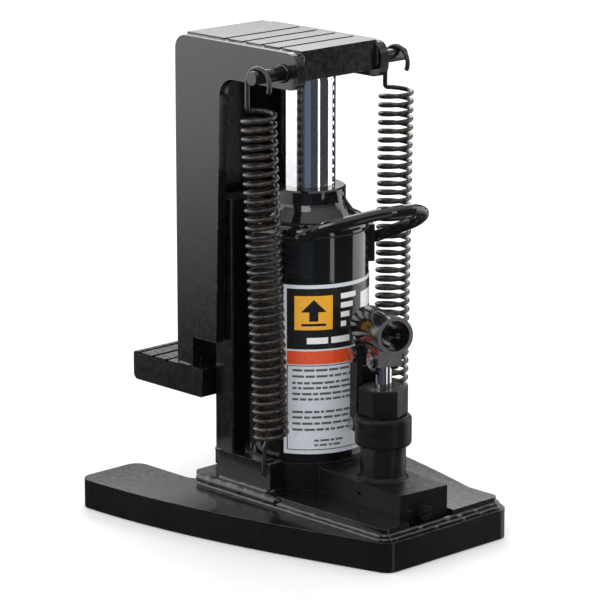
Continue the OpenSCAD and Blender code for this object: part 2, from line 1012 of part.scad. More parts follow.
module pin_clip_left() {
    pin_clip(-ear_in - ear_t - ear_clip_gap - clip_t);
}

module pin_clip_right() {
    pin_clip(ear_in + ear_t + ear_clip_gap);
}

// ---- Lifting carriage ----

module head_plate() {
    color("#1b1b1d")
        difference() {
            translate([-head_half, -head_front, head_under])
                cube([2 * head_half, head_front + carriage_back - web_inset, head_t]);
            for (i = [0:head_grooves - 1])
                translate([-head_half - 1, -head_front + head_first + i * head_pitch - groove_w / 2, head_top - groove_d])
                    cube([2 * head_half + 2, groove_w, groove_d + 1]);
            translate([0, 0, head_under - 1])
                cylinder(r = ram_r, h = ram_seat + 1);
        }
}

module gusset() {
    leg_front = carriage_back - leg_d;
    outline = rounded([
        [-head_front - arm_past, arm_under, 7],
        [leg_front - leg_flare, arm_under, arm_fillet],
        [leg_front, toe_top + gusset_rise, 1.5],
        [web_front, toe_top + gusset_rise, 0],
        [web_front, toe_top, 0],
        [carriage_back, toe_top, 0],
        [carriage_back, head_top - gusset_drop, 9],
        [-head_front - arm_past, head_top - gusset_drop, 10]
    ]);
    color("#1b1b1d")
        difference() {
            side_plate(outline, head_half, outer_half);
            translate([0, -spring_top_y, spring_pin_z])
                bar_x(spring_pin_r, head_half - 1, outer_half + 1);
        }
}

module gusset_left() {
    mirror([1, 0, 0])
        gusset();
}

module gusset_right() {
    gusset();
}

module back_web() {
    color("#1b1b1d")
        translate([-head_half, web_front, toe_top])
            cube([2 * head_half, web_t, head_under - toe_top]);
}

module toe_block() {
    tip = carriage_back + toe_reach;
    outline = rounded([
        [toe_front, toe_top - toe_t, 1.5], [tip, toe_top - toe_t, 4],
        [tip, toe_top, 2], [toe_front, toe_top, 0]
    ]);
    color("#1b1b1d")
        difference() {
            side_plate(outline, -outer_half, outer_half);
            for (i = [0:toe_grooves - 1])
                translate([-outer_half - 1, tip - toe_first - i * toe_pitch - groove_w / 2, toe_top - groove_d])
                    cube([2 * outer_half + 2, groove_w, groove_d + 1]);
        }
}

module spring_pin() {
    color("#202022")
        translate([0, -spring_top_y, spring_pin_z])
            bar_x(spring_pin_r, head_half, spring_top_x + spring_pin_past);
}

module spring_pin_left() {
    mirror([1, 0, 0])
        spring_pin();
}

module spring_pin_right() {
    spring_pin();
}

module ram() {
    color("#dfe2e6")
        difference() {
            union() {
                translate([0, 0, piston_z + piston_h])
                    cylinder(r = ram_r, h = head_under + ram_seat - piston_z - piston_h);
                translate([0, 0, piston_z - seal_h - nut_h + 1])
                    cylinder(r = piston_bore, h = piston_h + seal_h + nut_h);
            }
            ring(ram_r + 1, ram_r - 0.5, head_under - 4, 1);
        }
}

module ram_piston() {
    color("#8d9096")
        ring(cyl_r - ram_fit, piston_bore, piston_z, piston_h);
}

module piston_seal() {
    color("#2b2b2b")
        ring(cyl_r - ram_fit, piston_bore, piston_z - seal_h, seal_h);
}

module piston_nut() {
    color("#7d8086")
        difference() {
            translate([0, 0, piston_z - seal_h - nut_h])
                hexagon(22, nut_h);
            translate([0, 0, piston_z - seal_h - nut_h - 1])
                cylinder(r = piston_bore, h = nut_h + 2);
        }
}

// Coil envelope of one spring, leaning from its lower to its upper hook
module return_spring() {
    low = [spring_low_x, -spring_low_y, spring_low_z];
    top = [spring_top_x, -spring_top_y, spring_top_z];
    run = top - low;
    color("#2a2623")
        translate(low)
            rotate([0, 0, atan2(run[1], run[0])])
                rotate([0, atan2(norm([run[0], run[1]]), run[2]), 0])
                    ring(spring_r, spring_r - wire_d, 0, norm(run));
}

module return_spring_left() {
    mirror([1, 0, 0])
        return_spring();
}

module return_spring_right() {
    return_spring();
}

base_plate();
mounting_plate();
guide_foot();
guide_bar_left();
guide_bar_right();
guide_tie_plate();
spring_anchor_left();
spring_anchor_right();
jack_base();
tank_tube();
tank_seal();
top_nut();
ram_wiper();
pressure_cylinder();
cylinder_gasket();
oil_filter();
filler_plug();
carry_handle();
label();
pump_cylinder();
pump_packing();
inlet_ball();
delivery_ball();
delivery_spring();
relief_screw();
relief_spring();
relief_ball();
passage_plug();
valve_ring();
release_valve();
swivel_collar();
link_arm_left();
link_arm_right();
link_web();
link_pin();
rear_pivot_pin();
link_clip_low();
link_clip_high();
handle_socket();
pump_plunger();
plunger_pin();
pin_clip_left();
pin_clip_right();
head_plate();
gusset_left();
gusset_right();
back_web();
toe_block();
spring_pin_left();
spring_pin_right();
ram();
ram_piston();
piston_seal();
piston_nut();
return_spring_left();
return_spring_right();
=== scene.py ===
import json
import math
import random

import bpy
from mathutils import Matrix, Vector


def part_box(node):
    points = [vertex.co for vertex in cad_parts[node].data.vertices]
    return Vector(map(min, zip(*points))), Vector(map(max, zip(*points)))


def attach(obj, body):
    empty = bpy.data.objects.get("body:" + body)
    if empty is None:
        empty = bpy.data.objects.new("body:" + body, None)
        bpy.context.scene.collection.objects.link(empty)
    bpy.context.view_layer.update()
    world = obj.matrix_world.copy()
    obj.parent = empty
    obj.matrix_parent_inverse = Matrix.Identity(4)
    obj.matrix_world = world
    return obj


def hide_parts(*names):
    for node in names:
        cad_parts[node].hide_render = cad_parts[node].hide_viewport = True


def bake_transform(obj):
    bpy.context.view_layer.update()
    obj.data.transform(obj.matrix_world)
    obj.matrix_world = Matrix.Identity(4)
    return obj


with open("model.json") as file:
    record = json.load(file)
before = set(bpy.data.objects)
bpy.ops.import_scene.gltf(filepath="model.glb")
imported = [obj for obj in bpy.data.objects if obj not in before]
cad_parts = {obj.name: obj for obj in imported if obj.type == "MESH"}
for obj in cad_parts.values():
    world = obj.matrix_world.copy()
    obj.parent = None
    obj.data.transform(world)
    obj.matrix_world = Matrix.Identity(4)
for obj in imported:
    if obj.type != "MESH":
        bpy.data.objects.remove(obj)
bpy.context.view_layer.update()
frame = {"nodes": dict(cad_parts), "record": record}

scene = bpy.context.scene
for stray in [o for o in scene.objects if o.type in ("CAMERA", "LIGHT")]:
    bpy.data.objects.remove(stray)

MM = 0.001
UP = Vector((0, 0, 1))


# ---------------------------------------------------------------- camera ----

CAMERA_AZIMUTH = math.radians(43.89)   # left of straight ahead of the pump side
CAMERA_RISE = math.radians(13.75)
CAMERA_DISTANCE = 2.102
LENS = 198.0
LOOK_AT = Vector((0, 0, 0.150))
AIM_LEFT = 0.0051                      # the object stands a little right of
AIM_DOWN = 0.00936                     # the picture's middle, and above it

toward = Vector((
    math.sin(CAMERA_AZIMUTH) * math.cos(CAMERA_RISE),
    math.cos(CAMERA_AZIMUTH) * math.cos(CAMERA_RISE),
    -math.sin(CAMERA_RISE),
))
right = toward.cross(UP).normalized()
above = right.cross(toward)
camera_data = bpy.data.cameras.new("camera")
camera_data.lens = LENS
camera_data.clip_start = 0.05
camera_data.clip_end = 50
camera = bpy.data.objects.new("camera", camera_data)
scene.collection.objects.link(camera)
camera.location = LOOK_AT - toward * CAMERA_DISTANCE
aim = LOOK_AT - right * AIM_LEFT - above * AIM_DOWN
camera.rotation_mode = "QUATERNION"
camera.rotation_quaternion = (aim - camera.location).to_track_quat("-Z", "Y")
scene.camera = camera


# ------------------------------------------------------------- materials ----

class Shader:
    """A Principled material with short calls for its procedural nodes."""

    def __init__(self, name, **constants):
        self.mat = bpy.data.materials.new(name)
        self.mat.use_nodes = True
        self.tree = self.mat.node_tree
        self.nodes = self.tree.nodes
        self.bsdf = self.nodes["Principled BSDF"]
        for socket, value in constants.items():
            self.bsdf.inputs[socket.replace("_", " ")].default_value = value
        self.where = self.nodes.new("ShaderNodeTexCoord").outputs["Object"]

    def link(self, a, b):
        self.tree.links.new(a, b)

    def noise(self, scale, detail=3.0, rough=0.55, stretch=None):
        node = self.nodes.new("ShaderNodeTexNoise")
        node.inputs["Scale"].default_value = scale
        node.inputs["Detail"].default_value = detail
        node.inputs["Roughness"].default_value = rough
        if stretch:
            mapping = self.nodes.new("ShaderNodeMapping")
            mapping.inputs["Scale"].default_value = stretch
            self.link(self.where, mapping.inputs["Vector"])
            self.link(mapping.outputs["Vector"], node.inputs["Vector"])
        else:
            self.link(self.where, node.inputs["Vector"])
        return node.outputs["Fac"]

    def span(self, value, low, high, start=0.3, end=0.7):
        node = self.nodes.new("ShaderNodeMapRange")
        node.inputs["From Min"].default_value = start
        node.inputs["From Max"].default_value = end
        node.inputs["To Min"].default_value = low
        node.inputs["To Max"].default_value = high
        self.link(value, node.inputs["Value"])
        return node.outputs["Result"]

    def math(self, kind, a, b):
        node = self.nodes.new("ShaderNodeMath")
        node.operation = kind
        for socket, value in zip(node.inputs, (a, b)):
            if isinstance(value, (int, float)):
                socket.default_value = value
            else:
                self.link(value, socket)
        return node.outputs[0]

    def mix(self, factor, a, b):
        node = self.nodes.new("ShaderNodeMix")
        node.data_type = "RGBA"
        self.link(factor, node.inputs["Factor"])
        for socket, value in ((node.inputs[6], a), (node.inputs[7], b)):
            if isinstance(value, tuple):
                socket.default_value = (*value, 1)
            else:
                self.link(value, socket)
        return node.outputs[2]

    def edges(self, radius, start=0.004, end=0.10):
        """1 along sharp edges and 0 on flat areas."""
        bevel = self.nodes.new("ShaderNodeBevel")
        bevel.samples = 4
        bevel.inputs["Radius"].default_value = radius
        geometry = self.nodes.new("ShaderNodeNewGeometry")
        dot = self.nodes.new("ShaderNodeVectorMath")
        dot.operation = "DOT_PRODUCT"
        self.link(bevel.outputs["Normal"], dot.inputs[0])
        self.link(geometry.outputs["Normal"], dot.inputs[1])
        return self.span(self.math("SUBTRACT", 1.0, dot.outputs["Value"]), 0, 1, start, end)

    def bump(self, *layers):
        """Each layer is (height, distance in metres, strength)."""
        last = None
        for height, distance, strength in layers:
            node = self.nodes.new("ShaderNodeBump")
            node.inputs["Distance"].default_value = distance
            node.inputs["Strength"].default_value = strength
            self.link(height, node.inputs["Height"])
            if last is not None:
                self.link(last, node.inputs["Normal"])
            last = node.outputs["Normal"]
        self.link(last, self.bsdf.inputs["Normal"])
        return last

    def colour(self, value):
        self.link(value, self.bsdf.inputs["Base Color"])

    def roughness(self, value):
        self.link(value, self.bsdf.inputs["Roughness"])


DUST = (0.10, 0.10, 0.10)
WORN_EDGE = (0.12, 0.12, 0.125)


def paint(name, tone, rough, peel, wear, lumps=0.0, coat=0.5, shine=0.5):
    """Black enamel: orange peel, slight colour drift, dust on top and thin wear on edges."""
    s = Shader(name, Coat_Weight=coat, Coat_Roughness=0.03, Specular_IOR_Level=shine)
    drift = s.noise(14, 4)
    fine = s.noise(900, 2)
    film = s.noise(260, 3, 0.5)
    body = s.mix(s.span(drift, 0, 1), tuple(0.7 * c for c in tone), tuple(1.6 * c for c in tone))
    geometry = s.nodes.new("ShaderNodeNewGeometry")
    split = s.nodes.new("ShaderNodeSeparateXYZ")
    s.link(geometry.outputs["Normal"], split.inputs[0])
    level = s.span(split.outputs["Z"], 0, 1, 0.75, 1.0)
    dust = s.math("MULTIPLY", level, s.span(s.noise(420, 5, 0.7), 0, 0.22, 0.5, 0.8))
    dusty = s.mix(dust, body, DUST)
    rub = s.math("MULTIPLY", s.edges(0.0012), s.span(s.noise(160, 4, 0.7), 0, wear, 0.45, 0.7))
    s.colour(s.mix(rub, dusty, WORN_EDGE))
    gloss = s.span(film, rough * 0.75, rough * 1.35)
    s.roughness(s.math("ADD", gloss, s.math("MULTIPLY", rub, 0.25)))
    layers = [(film, 0.0006, peel), (fine, 0.0001, 0.04)]
    if lumps:
        layers.append((s.noise(75, 3), 0.0012, lumps))
    s.bump(*layers)
    return s.mat


def metal(name, tone, rough, lines):
    """Turned or drawn bare metal with fine lines, smudges and a few dark spots."""
    s = Shader(name, Metallic=1.0)
    smudge = s.noise(45, 5, 0.6)
    dark = tuple(0.72 * c for c in tone)
    s.colour(s.mix(s.span(smudge, 0, 1, 0.45, 0.8), tone, dark))
    s.roughness(s.span(s.noise(150, 4, 0.6), rough * 0.7, rough * 1.5))
    turned = s.noise(1.0, 2, 0.5, (60, 60, 3200))
    s.bump((turned, 0.00005, lines), (s.noise(500, 2), 0.00005, 0.05))
    return s.mat


def film(name, tone, rough=0.3):
    """Printed plastic film: slight tone drift, fine grain and scuffs."""
    s = Shader(name, Coat_Weight=0.25, Coat_Roughness=0.08)
    drift = s.noise(60, 4)
    scuff = s.span(s.noise(38, 6, 0.75, (1, 1, 3)), 0, 0.35, 0.62, 0.8)
    worn = tuple(0.5 * c + 0.12 for c in tone)
    base = s.mix(s.span(drift, 0, 1), tuple(0.93 * c for c in tone), tone)
    s.colour(s.mix(scuff, base, worn))
    s.roughness(s.span(s.noise(240, 3), rough * 0.8, rough * 1.3))
    s.bump((s.noise(90, 3), 0.0004, 0.06), (s.noise(1400, 1), 0.00005, 0.06))
    return s.mat


def rubber(name, tone):
    s = Shader(name)
    s.colour(s.mix(s.span(s.noise(60, 4), 0, 1), tuple(0.7 * c for c in tone), tone))
    s.roughness(s.span(s.noise(300, 3), 0.55, 0.8))
    s.bump((s.noise(700, 3), 0.0002, 0.25))
    return s.mat


def gauze(name):
    s = Shader(name, Metallic=0.9)
    cells = s.nodes.new("ShaderNodeTexVoronoi")
    cells.inputs["Scale"].default_value = 1500
    s.link(s.where, cells.inputs["Vector"])
    gap = s.span(cells.outputs["Distance"], 0, 1, 0.1, 0.6)
    s.colour(s.mix(gap, (0.6, 0.48, 0.25), (0.15, 0.11, 0.05)))
    s.roughness(s.span(s.noise(200), 0.3, 0.55))
    s.bump((cells.outputs["Distance"], 0.0003, 0.6))
    return s.mat


def spring_wire(name):
    s = Shader(name, Metallic=0.55, Coat_Weight=0.35, Coat_Roughness=0.12)
    patch = s.span(s.noise(120, 5, 0.65), 0, 1, 0.42, 0.66)
    s.colour(s.mix(patch, (0.022, 0.020, 0.019), (0.060, 0.045, 0.034)))
    s.roughness(s.span(s.noise(400, 3), 0.22, 0.42))
    s.bump((s.noise(900, 2, 0.5, (1, 1, 0.3)), 0.0001, 0.12))
    return s.mat


def pale_floor(name):
    s = Shader(name)
    s.colour(s.mix(s.span(s.noise(3, 3), 0, 1), (0.90, 0.90, 0.90), (0.94, 0.94, 0.94)))
    s.roughness(s.span(s.noise(30, 3), 0.75, 0.9))
    s.bump((s.noise(60, 3), 0.0003, 0.02))
    return s.mat


black = (0.0045, 0.0045, 0.005)
casting_black = (0.006, 0.006, 0.0065)
LOOKS = {
    "black_paint": paint("gloss_plate_paint", black, 0.20, 0.09, 0.5, 0.04, coat=0.3),
    "jack_paint": paint("gloss_tank_paint", black, 0.08, 0.05, 0.35),
    "pump_paint": paint("casting_paint", casting_black, 0.34, 0.16, 0.5, 0.14, coat=0.0, shine=0.18),
    "chrome": metal("hard_chrome", (0.86, 0.875, 0.90), 0.055, 0.05),
    "bare_steel": metal("turned_steel", (0.42, 0.42, 0.43), 0.28, 0.3),
    "spring_steel": spring_wire("blackened_wire"),
    "seal_rubber": rubber("nitrile_rubber", (0.022, 0.022, 0.022)),
    "filter_mesh": gauze("brass_gauze"),
    "label_film": film("silver_film", (0.60, 0.63, 0.68)),
}
weld_paint = paint("painted_weld", black, 0.14, 0.12, 0.2, 0.10, coat=0.5)

socket_paint = paint("socket_paint", black, 0.19, 0.08, 0.4, 0.03, coat=0.35)

slot_of = {p["node"]: p["material_slot"] for p in frame["record"]["subparts"]}
for name, node in frame["nodes"].items():
    node.data.materials.clear()
    look = socket_paint if name == "handle_socket" else LOOKS[slot_of[name]]
    node.data.materials.append(look)


# ----------------------------------------------------------- mesh helpers ----

def piece(name, verts, faces, material, smooth=True):
    mesh = bpy.data.meshes.new(name)
    mesh.from_pydata([tuple(v) for v in verts], [], faces)
    mesh.materials.append(material)
    for polygon in mesh.polygons:
        polygon.use_smooth = smooth
    mesh.update()
    made = bpy.data.objects.new(name, mesh)
    scene.collection.objects.link(made)
    return made


def tube(points, radii, sides, closed=False):
    """Vertices and faces of a round bar along points, with closed ends."""
    count = len(points)
    verts, faces = [], []
    normal = None
    for i, p in enumerate(points):
        if closed:
            along = points[(i + 1) % count] - points[i - 1]
        else:
            along = points[min(i + 1, count - 1)] - points[max(i - 1, 0)]
        along.normalize()
        if normal is None:
            normal = along.orthogonal().normalized()
        normal = (normal - along * normal.dot(along)).normalized()
        other = along.cross(normal)
        for k in range(sides):
            a = 2 * math.pi * k / sides
            verts.append(p + radii[i] * (math.cos(a) * normal + math.sin(a) * other))
    rows = count if closed else count - 1
    for i in range(rows):
        j = (i + 1) % count
        for k in range(sides):
            m = (k + 1) % sides
            faces.append((i * sides + k, i * sides + m, j * sides + m, j * sides + k))
    if not closed:
        faces.append(tuple(reversed(range(sides))))
        faces.append(tuple(range((count - 1) * sides, count * sides)))
    return verts, faces


def resample(points, step):
    """Points spaced evenly along a polyline."""
    out = [points[0].copy()]
    left = step
    for a, b in zip(points, points[1:]):
        length = (b - a).length
        at = left
        while at < length:
            out.append(a.lerp(b, at / length))
            at += step
        left = at - length
    out.append(points[-1].copy())
    return out


def arc(middle, u, v, radius, start, end, steps):
    """Points of an arc in the plane of u and v, angles in degrees."""
    out = []
    for i in range(steps + 1):
        a = math.radians(start + (end - start) * i / steps)
        out.append(middle + radius * (math.cos(a) * u + math.sin(a) * v))
    return out


def at_mm(*xyz):
    return Vector(xyz) * MM


X = Vector((1, 0, 0))
Y = Vector((0, 1, 0))
SIDES = ((-1, "left"), (1, "right"))


# ------------------------------------------------- rounded edges on the CAD ----

def soften(width, *nodes, angle=32, segments=3):
    """Breaks the sharp edges of CAD nodes, as paint and grinding do."""
    for name in nodes:
        node = frame["nodes"][name]
        weld = node.modifiers.new("weld", "WELD")
        weld.merge_threshold = 2e-6
        bevel = node.modifiers.new("edges", "BEVEL")
        bevel.width = width * MM
        bevel.segments = segments
        bevel.limit_method = "ANGLE"
        bevel.angle_limit = math.radians(angle)
        bevel.harden_normals = True
        bevel.use_clamp_overlap = True


soften(1.9, "base_plate")
soften(1.4, "gusset_left", "gusset_right")
soften(0.9, "mounting_plate", "guide_foot", "guide_bar_left", "guide_bar_right")
soften(0.7, "head_plate", "toe_block", "guide_tie_plate", "jack_base")
soften(0.7, "spring_anchor_left", "spring_anchor_right", "spring_pin_left", "spring_pin_right")
soften(0.5, "handle_socket", "release_valve", "link_arm_left", "link_arm_right", "pump_cylinder")


# ------------------------------------------------------------------ springs ----

WIRE = 1.5 * MM                        # radius of the spring's wire
COIL = 11.5 * MM - WIRE                # radius of the wire's centre line
COIL_PITCH = 5.65 * MM
STEPS_PER_TURN = 20
PIN_RING = 289.5                       # height of the upper hook's centre


def smoothed(path, longest):
    """One round of corner cutting. Pieces shorter than longest only get their midpoint."""
    cut = [path[0]]
    for a, b in zip(path, path[1:]):
        if (b - a).length > longest:
            cut += [a.lerp(b, 0.25), a.lerp(b, 0.75)]
        else:
            cut.append(a.lerp(b, 0.5))
    cut.append(path[-1])
    return cut


def return_spring(side, word):
    """A close extension spring with a hook at each end, on one side of the jack."""
    low = at_mm(side * 53, -22, 64)
    high = at_mm(side * 60, -18.5, 272)
    axis = (high - low).normalized()
    u = (X - axis * X.dot(axis)).normalized()
    v = axis.cross(u)
    # Lower hook under the cross pin in the anchor's slot, then up to the first coil
    cross_pin = at_mm(side * 46.5, -12.2, 40)
    path = arc(cross_pin, X * side, UP, 3.4 * MM, 150, 360, 16)
    path += [cross_pin + at_mm(side * 3.3, 0, 5 + i * 3.4) for i in range(4)]
    # The coils start over the lower hook and end at the back, under the upper hook
    turn_start = 130 if side > 0 else 50
    turns = round((high - low).length / COIL_PITCH) + (90 - turn_start) / 360
    total = round(turns * STEPS_PER_TURN)
    for i in range(total + 1):
        a = math.radians(turn_start + 360.0 * turns * i / total)
        spot = low + axis * ((high - low).length * i / total)
        path.append(spot + COIL * (math.cos(a) * u + math.sin(a) * v))
    # Upper hook: straight up the back, over the pin and part way down the front
    ring = at_mm(side * 60, -18.5, PIN_RING)
    path += [ring + at_mm(0, COIL / MM, z - PIN_RING) for z in (276.5, 280.5, 284.5)]
    path += arc(ring, Y, UP, COIL, -8, 206, 30)
    for _ in range(2):
        path = smoothed(path, 2.2 * MM)
    verts, faces = tube(path, [WIRE] * len(path), 10)
    spring = piece("coil_spring_" + word, verts, faces, LOOKS["spring_steel"])
    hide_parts("return_spring_" + word)
    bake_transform(spring)


return_spring(1, "right")
return_spring(-1, "left")


# -------------------------------------------------------------- weld beads ----

BEAD_STEP = 0.55 * MM
BEAD_SIDES = 10
RIPPLE, SWELL, SWAY = 0.22, 0.8, 0.08


def bead(name, path, radius, body, seed, closed=False, pitch=2.1 * MM, rough=0.10):
    """A painted weld bead: overlapping ripples, uneven width and a wandering line."""
    rng = random.Random(seed)
    points = resample(path, BEAD_STEP)
    if closed:
        points = points[:-1]
    count = len(points)
    knots = max(4, count // 9)
    wide = [rng.uniform(-1, 1) for _ in range(knots + 2)]
    drift = [rng.uniform(-1, 1) for _ in range(knots + 2)]
    if closed:
        wide[knots] = wide[0]
        drift[knots] = drift[0]
    placed, radii = [], []
    for i, p in enumerate(points):
        at = i / count * knots
        k, f = int(at), at - int(at)
        f = f * f * (3 - 2 * f)
        swell = wide[k] * (1 - f) + wide[k + 1] * f
        sway = drift[k] * (1 - f) + drift[k + 1] * f
        ripple = abs(math.sin(math.pi * i * BEAD_STEP / pitch))
        end = 1.0
        if not closed:
            end = min(1.0, 0.25 + (min(i, count - 1 - i) * BEAD_STEP) / radius)
        radii.append(radius * end * (0.94 + rough * RIPPLE * ripple + rough * SWELL * swell))
        before, after = points[i - 1 if i else 0], points[min(i + 1, count - 1)]
        along = (after - before).normalized()
        across = along.cross(UP)
        if across.length < 0.1:
            across = X.copy()
        placed.append(p + across.normalized() * sway * radius * SWAY)
    verts, faces = tube(placed, radii, BEAD_SIDES, closed)
    made = piece(name, verts, faces, weld_paint)
    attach(made, body)


plate_low, plate_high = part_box("mounting_plate")
deck = plate_high.z
ground_top = plate_low.z
toe_low, toe_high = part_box("toe_block")
head_low, head_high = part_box("head_plate")
web_low, web_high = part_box("back_web")
foot_low, foot_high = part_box("guide_foot")


def plate_edge(out, rise):
    """Path round the mounting plate: along the left side, across the front and back along the right."""
    x1 = plate_high.x + out
    y0 = plate_low.y - out
    back = plate_high.y - 6 * MM
    z = ground_top + rise
    corner = 5 * MM + out
    path = [Vector((-x1, back, z))]
    path += arc(Vector((-x1 + corner, y0 + corner, z)), X, Y, corner, 180, 270, 8)
    path += arc(Vector((x1 - corner, y0 + corner, z)), X, Y, corner, 270, 360, 8)
    path.append(Vector((x1, back, z)))
    return path


bead("weld_plate", plate_edge(0.2 * MM, 2.2 * MM), 2.1 * MM, "base", 11)
bead("weld_plate_outer", plate_edge(2.4 * MM, 0.4 * MM), 1.7 * MM, "base", 21)

for side, word in SIDES:
    # Seam between head plate and gusset, ground nearly flush
    x = side * head_high.x
    bead("weld_head_%s" % word, [
        Vector((x, head_low.y - 0.5 * MM, head_high.z - 2.3 * MM)),
        Vector((x, head_high.y - 1 * MM, head_high.z - 2.3 * MM)),
    ], 1.7 * MM, "carriage", 31 + side)
    bead("weld_head_front_%s" % word, [
        Vector((x, head_low.y - 0.2 * MM, head_high.z - 2 * MM)),
        Vector((x, head_low.y - 0.2 * MM, head_low.z + 2 * MM)),
    ], 1.8 * MM, "carriage", 36 + side)
    # Seam between back web and gusset
    bead("weld_web_%s" % word, [
        Vector((x, web_high.y - 0.4 * MM, toe_high.z + 3 * MM)),
        Vector((x, web_high.y - 0.4 * MM, head_low.z + 4 * MM)),
    ], 1.7 * MM, "carriage", 41 + side)
    # Gusset foot on the toe block
    bead("weld_toe_side_%s" % word, [
        Vector((side * (toe_high.x - 0.8 * MM), web_low.y + 1 * MM, toe_high.z + 0.6 * MM)),
        Vector((side * (toe_high.x - 0.8 * MM), web_high.y - 1 * MM, toe_high.z + 0.6 * MM)),
    ], 1.8 * MM, "carriage", 51 + side)
    # Spring pin in the gusset
    ring = arc(at_mm(side * 40.0, -18.5, 294), Y, UP, 5.0 * MM, 0, 360, 24)
    bead("weld_pin_%s" % word, ring, 1.1 * MM, "carriage", 61 + side, closed=True)
    # Spring anchor on the mounting plate
    bead("weld_anchor_%s" % word, [
        at_mm(side * 50.2, -17.0, 26.6), at_mm(side * 50.2, 29.4, 26.6),
    ], 1.9 * MM, "base", 71 + side)
    bead("weld_anchor_front_%s" % word, [
        at_mm(side * 38.4, -17.8, 26.8), at_mm(side * 49.8, -17.8, 26.8),
    ], 1.8 * MM, "base", 76 + side)
    bead("weld_anchor_in_%s" % word, [
        at_mm(side * 42.9, -8.4, 26.6), at_mm(side * 42.9, 29.2, 26.6),
    ], 1.6 * MM, "base", 81 + side)
    # Guide bar on its foot
    bead("weld_bar_%s" % word, [
        at_mm(side * 30.2, 41.6, 36.4), at_mm(side * 30.2, 55.2, 36.4),
    ], 1.5 * MM, "base", 91 + side)

bead("weld_toe", [
    Vector((toe_low.x + 1.5 * MM, web_high.y + 0.8 * MM, toe_high.z + 0.8 * MM)),
    Vector((toe_high.x - 1.5 * MM, web_high.y + 0.8 * MM, toe_high.z + 0.8 * MM)),
], 2.8 * MM, "carriage", 101)
bead("weld_head_back", [
    Vector((head_low.x + 1 * MM, web_high.y - 3.2 * MM, head_low.z + 0.6 * MM)),
    Vector((head_high.x - 1 * MM, web_high.y - 3.2 * MM, head_low.z + 0.6 * MM)),
], 2.0 * MM, "carriage", 103)
bead("weld_foot_front", [
    Vector((foot_low.x + 1 * MM, foot_low.y - 0.4 * MM, deck + 0.5 * MM)),
    Vector((foot_high.x - 1 * MM, foot_low.y - 0.4 * MM, deck + 0.5 * MM)),
], 1.3 * MM, "base", 105)
bead("weld_plate_lump", [
    at_mm(-51.4, -28, 22.6), at_mm(-51.8, 4, 23.2), at_mm(-51.6, 30, 23.0), at_mm(-51.2, 50, 22.8),
], 3.6 * MM, "base", 107, pitch=3.4 * MM, rough=0.07)


# -------------------------------------------------------------------- label ----

label_low, label_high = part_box("label")
LABEL_R = 39.0
FIRST, LAST = -157.0, 11.0             # the label's side edges, in degrees round the tank
MARGIN = 3.2
INK_T = 0.07


def patches(name, boxes, material, lift=0.0):
    """Thin curved rectangles on the tank. Each box is (first angle, last angle, low z, high z)."""
    verts, faces = [], []
    inner, outer = LABEL_R - 0.1, LABEL_R + INK_T + lift
    for first, last, z0, z1 in boxes:
        steps = max(1, int(math.ceil((last - first) / 3.0)))
        base = len(verts)
        for i in range(steps + 1):
            a = math.radians(first + (last - first) * i / steps)
            for r, z in ((inner, z0), (outer, z0), (outer, z1), (inner, z1)):
                verts.append(Vector((r * math.cos(a), r * math.sin(a), z)) * MM)
        for i in range(steps):
            p, q = base + 4 * i, base + 4 * (i + 1)
            for k in range(4):
                m = (k + 1) % 4
                faces.append((p + k, q + k, q + m, p + m))
        faces.append((base + 3, base + 2, base + 1, base))
        end = base + 4 * steps
        faces.append((end, end + 1, end + 2, end + 3))
    made = piece(name, verts, faces, material, smooth=False)
    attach(made, "base")


ink_black = film("black_ink", (0.012, 0.012, 0.013), 0.22)
ink_orange = film("orange_ink", (0.72, 0.075, 0.018), 0.28)
ink_amber = film("amber_ink", (0.80, 0.38, 0.02), 0.28)
ink_grey = film("grey_ink", (0.10, 0.10, 0.11), 0.35)
ink_white = film("white_ink", (0.80, 0.80, 0.80), 0.28)

Z0 = label_low.z / MM
Z1 = label_high.z / MM
patches("label_upper_panel", [(FIRST + MARGIN, LAST - MARGIN, 118.0, Z1 - 2.4)], ink_black)
patches("label_stripe", [(FIRST + MARGIN, LAST - MARGIN, 108.2, 116.8)], ink_orange)
frame_w = 0.5
patches("label_border", [
    (FIRST + MARGIN, LAST - MARGIN, Z0 + 2.6, Z0 + 2.6 + frame_w),
    (FIRST + MARGIN, FIRST + MARGIN + 0.8, Z0 + 2.6, 107.4),
    (LAST - 4.0, LAST - MARGIN, Z0 + 2.6, 107.4),
    (FIRST + MARGIN, LAST - MARGIN, 107.0, 107.5),
], ink_black)


def lines(first, last, tops, height, seed, ragged=0.0):
    """Rows of plain bars of uneven length, which stand for unreadable small print."""
    rng = random.Random(seed)
    boxes = []
    for z in tops:
        at = first
        stop = last - rng.uniform(0, ragged)
        while at < stop - 2:
            width = min(rng.uniform(3.0, 11.5), stop - at)
            boxes.append((at, at + width, z - height, z))
            at += width + 1.5
    return boxes


UPPER_ROWS = [105.1, 101.1, 96.8, 93.5, 89.7, 86.2]
LOWER_ROWS = [77.9, 74.3, 70.3, 66.3]
small_print = lines(-148.5, -82, UPPER_ROWS, 1.5, 5, 5)
small_print += lines(-148.5, -82, LOWER_ROWS, 1.5, 6, 12)
small_print += lines(-128, -98, [59.0, 56.0], 1.3, 7, 4)
small_print += lines(-76, 2, UPPER_ROWS + LOWER_ROWS, 1.5, 8, 9)
patches("label_small_print", small_print, ink_grey)

